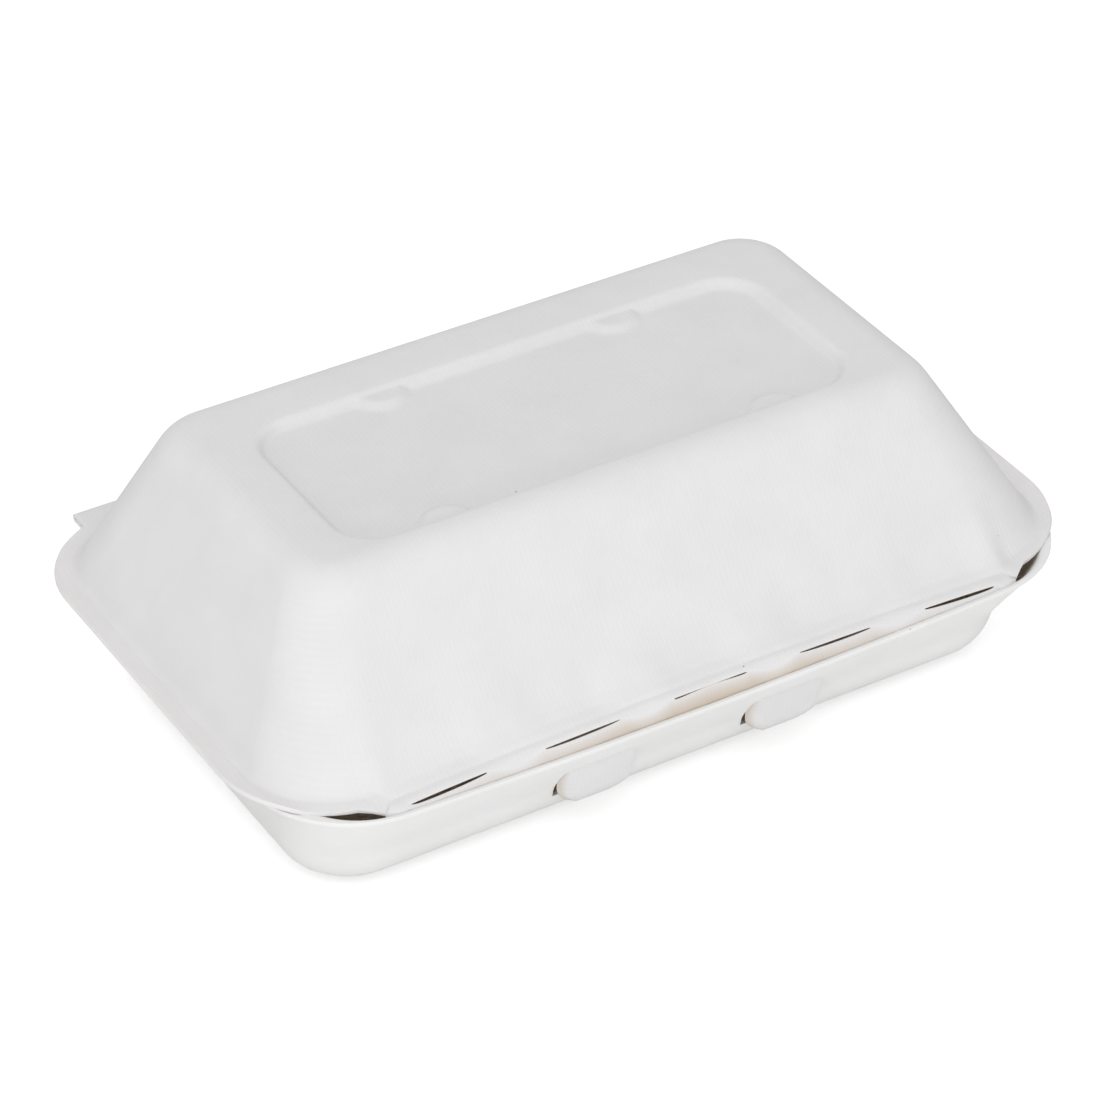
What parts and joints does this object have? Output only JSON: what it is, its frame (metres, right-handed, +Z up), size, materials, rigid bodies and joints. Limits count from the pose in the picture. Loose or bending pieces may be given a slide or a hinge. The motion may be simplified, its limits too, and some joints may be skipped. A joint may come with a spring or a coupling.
{
  "type": "hinged_food_tray",
  "caption": "Closed clamshell food tray pressed from off-white sugar cane pulp, with a recessed lid top, a tuck flap and locking tongues",
  "frame": {"origin": "centre of the plan at table height, under the closed tray", "axes": "+X along the long side, +Y to the hinge fold at the rear, +Z up"},
  "size_m": [0.235, 0.1528, 0.077],
  "materials": {
    "tray_pulp": "matte",
    "lid_pulp": "matte"
  },
  "bodies": {
    "tray": {"tray": "tray_pulp"},
    "lid": {"lid": "lid_pulp"}
  },
  "joints": [
    {"name": "lid_hinge", "type": "hinge", "parent": "tray", "child": "lid", "pos_m": [0, 0.0765, 0.034], "axis": [-1, 0, 0], "range_deg": [0, 180]}
  ]
}
